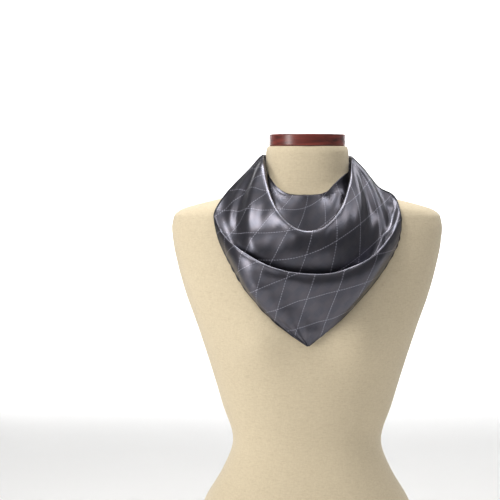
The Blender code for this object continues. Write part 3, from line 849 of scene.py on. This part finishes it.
def buildScarfKnot(look):
    # the drawn-in ends, and the loop that is pulled tight over them
    turns = np.linspace(0, 2 * math.pi, knotSizes["around"], endpoint=False)
    points, faces = [], []
    for step in range(knotSizes["along"] + 1):
        along = 2 * step / knotSizes["along"] - 1
        size = knotSizes["endSize"] + (1 - knotSizes["endSize"]) * math.sqrt(max(0.0, 1 - along ** 4))
        size -= knotSizes["waist"] * math.exp(-(along / knotSizes["waistWidth"]) ** 2)
        for k, turn in enumerate(turns):
            pleat = 1 + knotSizes["pleatDepth"] * math.cos(knotSizes["pleats"] * turn + 2.2 * along)
            pleat += knotSizes["creaseDepth"] * math.cos(13 * turn - 3.0 * along)
            points.append((knotSizes["halfX"] * along,
                           knotSizes["centreY"] + knotSizes["halfY"] * size * pleat * math.cos(turn),
                           knotSizes["centreZ"] + knotSizes["halfZ"] * size * pleat * math.sin(turn)))
    faces += ringFaces(knotSizes["along"] + 1, knotSizes["around"])
    last = knotSizes["along"] * knotSizes["around"]
    faces.append(tuple(range(knotSizes["around"])))
    faces.append(tuple(last + k for k in range(knotSizes["around"])))
    start = len(points)
    sides = knotSizes["loopSides"]
    for k in range(knotSizes["around"]):
        turn = turns[k]
        y0 = knotSizes["centreY"] + knotSizes["loopY"] * math.cos(turn)
        z0 = knotSizes["centreZ"] + knotSizes["loopZ"] * math.sin(turn)
        slant = knotSizes["loopSlant"] * math.sin(turn)
        for j in range(sides):
            a = 2 * math.pi * j / sides
            ridge = knotSizes["loopPleat"] * math.cos(5 * a + 1.3 * turn)
            out = knotSizes["loopThick"] * (math.sin(a) + ridge)
            x = knotSizes["loopHalfX"] * math.cos(a) * (1 + 0.10 * math.cos(3 * turn)) + slant
            points.append((x, y0 + out * math.cos(turn), z0 + out * math.sin(turn)))
    around = knotSizes["around"]
    for k in range(around):
        a, b = start + k * sides, start + ((k + 1) % around) * sides
        for j in range(sides):
            n = (j + 1) % sides
            faces.append((a + j, a + n, b + n, b + j))
    made = addObject("scarfKnot", points, faces, look)
    turnOutward(made)
    return made


def buildScarfTail(name, side, look):
    keys = np.arange(len(tailSections), dtype=float)
    level = np.linspace(0, len(tailSections) - 1, tailSizes["rows"])
    rows = splineColumns(keys, tailSections, level)
    u = np.linspace(-1, 1, tailSizes["columns"])
    across, out, height, half, fold = (rows[:, k][:, None] for k in range(5))
    wave = fold * (1 - u ** 2) + 0.4 * fold * np.sin(2.5 * math.pi * u)
    wave = wave + tailSizes["ripple"] * np.sin(5 * math.pi * u + level[:, None])
    x = side * (across + half * u)
    z = height - tailSizes["droop"] * half * u
    grid = np.stack([x, out + wave, z + 0 * x], axis=-1)
    points = grid.reshape(-1, 3)
    made = addObject(name, points, gridFaces(*grid.shape[:2]), look)
    spread = made.data.uv_layers.new(name="flatCloth")
    down = level / level[-1] * tailSizes["flatLength"]
    flat = np.stack(np.broadcast_arrays(0.50 - down[:, None] * 0.9,
                                        0.02 + (u[None, :] + 1) / 2 * half * 2), axis=-1)
    flat = flat.reshape(-1, 2)
    for loop in made.data.loops:
        spread.data[loop.index].uv = flat[loop.vertex_index]
    edge = np.concatenate([grid[:, 0], grid[-1, 1:], grid[::-1, -1][1:]])
    thicken(made, tailSizes["thickness"])
    return made, edge


# stage and camera

stageSizes = dict(cameraX=-0.083, cameraY=-2.215, cameraZ=0.6475, pitch=3.3, lens=110.0)


def buildStage():
    look, tree, shader = newMaterial("paleStudio")
    place = tree.nodes.new("ShaderNodeTexCoord").outputs["Object"]
    base = colourMix(tree, noiseNode(tree, place, 3.0), (0.90, 0.90, 0.90), (0.93, 0.93, 0.93))
    tree.links.new(base, shader.inputs["Base Color"])
    shader.inputs["Roughness"].default_value = 0.8
    profile = [(-6.0, 0.0), (2.4, 0.0)]
    for k in range(1, 13):
        a = math.radians(7.5 * k)
        profile.append((2.4 + 0.9 * math.sin(a), 0.9 * (1 - math.cos(a))))
    profile.append((3.3, 5.0))
    points = [(x, y, z) for y, z in profile for x in (-6.0, 6.0)]
    sweep = addObject("studioSweep", points, gridFaces(len(profile), 2), look)


def addLight(name, place, target, size, power, colour):
    data = bpy.data.lights.new(name, "AREA")
    data.shape = "RECTANGLE"
    data.size, data.size_y = size
    data.energy = power
    data.color = colour
    made = bpy.data.objects.new(name, data)
    made.location = place
    aim = Vector(target) - Vector(place)
    made.rotation_euler = aim.to_track_quat("-Z", "Y").to_euler()
    bpy.context.scene.collection.objects.link(made)
    return made


lightSizes = dict(sky=0.19, backdrop=38.0, backdropSpread=95, aimHeight=0.5)

# name, place, width and height, power, colour
softLights = (
    ("keyLight", (-0.79, -0.69, 2.02), (0.60, 0.60), 11.5, (1.0, 0.985, 0.955)),
    ("frontLight", (-0.66, -1.44, 1.45), (0.60, 0.60), 1.6, (1.0, 0.99, 0.97)),
    ("sideLight", (-1.55, -0.93, 0.71), (0.45, 0.80), 10.0, (1.0, 0.985, 0.96)),
    ("rightLight", (0.85, -0.40, 2.02), (0.60, 0.60), 5.0, (1.0, 0.99, 0.97)),
    ("topLight", (0.10, 0.30, 2.10), (0.55, 0.45), 13.0, (1.0, 1.0, 0.99)),
    ("rimLight", (1.06, 0.86, 1.71), (0.60, 0.60), 5.0, (1.0, 1.0, 1.0)),
)


def buildLights():
    world = bpy.data.worlds.new("paleStudio")
    bpy.context.scene.world = world
    world.use_nodes = True
    back = world.node_tree.nodes["Background"]
    back.inputs["Color"].default_value = (1.0, 1.0, 1.0, 1.0)
    back.inputs["Strength"].default_value = lightSizes["sky"]
    target = (0.0, 0.0, lightSizes["aimHeight"])
    for name, place, size, power, colour in softLights:
        addLight(name, place, target, size, power, colour)
    for name, side in (("backdropWashLeft", -1), ("backdropWashRight", 1)):
        wash = addLight(name, (side * 2.3, 2.0, 1.5), (side * 0.4, 3.3, 0.8), (0.6, 1.6),
                        lightSizes["backdrop"], (1.0, 1.0, 1.0))
        wash.data.spread = math.radians(lightSizes["backdropSpread"])


def buildCamera():
    data = bpy.data.cameras.new("shopCamera")
    data.lens = stageSizes["lens"]
    data.sensor_width = 36.0
    data.clip_end = 100.0
    made = bpy.data.objects.new("shopCamera", data)
    made.location = (stageSizes["cameraX"], stageSizes["cameraY"], stageSizes["cameraZ"])
    made.rotation_euler = (math.radians(90 - stageSizes["pitch"]), 0.0, 0.0)
    bpy.context.scene.collection.objects.link(made)
    bpy.context.scene.camera = made
    bpy.context.scene.view_settings.view_transform = "Standard"


# build

lattice = makeDottedLattice()
weave = makeSilkWeave()
satin = makeSatin("silkSatin", lattice, weave)
knotSilk = makeSatin("knotSilk", lattice, weave, withLines=False)
# the rolled hems' silk: the same satin at 0.45 of its colour, darker as painted shade of the tight roll
paintedShadeHemSilk = makeSatin("rolledHemSilkPaintedShade", lattice, weave, 0.45, False)
linen = makeLinen()
mahogany = makeMahogany()
print("materials ready")

formTorso, formSkin = buildFormTorso(linen)
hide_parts("form_torso")
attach(formTorso, "root")
formNeckCap = buildFormNeckCap(mahogany)
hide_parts("form_neck_cap")
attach(formNeckCap, "root")
print("form built")

scarfCloth, hemPoints = buildScarfCloth(satin, formSkin)
flatSpots = layFlat(scarfCloth, hemPoints)
print("cloth laid flat, from", flatSpots.min(axis=0), "to", flatSpots.max(axis=0))
hemTree = makeHemTree(paintedShadeHemSilk)
for hemName, side, node in (("scarfHemLeft", -1, "scarf_hem_left"),
                            ("scarfHemRight", 1, "scarf_hem_right")):
    edge = [scarfCloth.data.vertices[k].co.copy() for k in hemPoints[side]]
    hemPiece = buildScarfHem(hemName, edge, hemTree, paintedShadeHemSilk)
    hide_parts(node)
    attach(hemPiece, "root")
scarfKnot = buildScarfKnot(knotSilk)
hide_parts("scarf_knot")
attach(scarfKnot, "root")
scarfTails = []
for tailName, side, node in (("scarfTailLeft", -1, "scarf_tail_left"),
                             ("scarfTailRight", 1, "scarf_tail_right")):
    tailPiece, tailEdge = buildScarfTail(tailName, side, satin)
    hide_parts(node)
    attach(tailPiece, "root")
    tailHem = buildScarfHem(tailName + "Hem", tailEdge, hemTree, paintedShadeHemSilk)
    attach(tailHem, "root")
    scarfTails += [tailPiece, tailHem]
print("hems, knot and tails built")
thicken(scarfCloth, scarfSizes["thickness"])
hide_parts("scarf_cowl_inner", "scarf_cowl_middle", "scarf_front_point",
            "scarf_wrap_left", "scarf_wrap_right")
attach(scarfCloth, "root")
print("scarf built")

buildStage()
buildLights()
buildCamera()
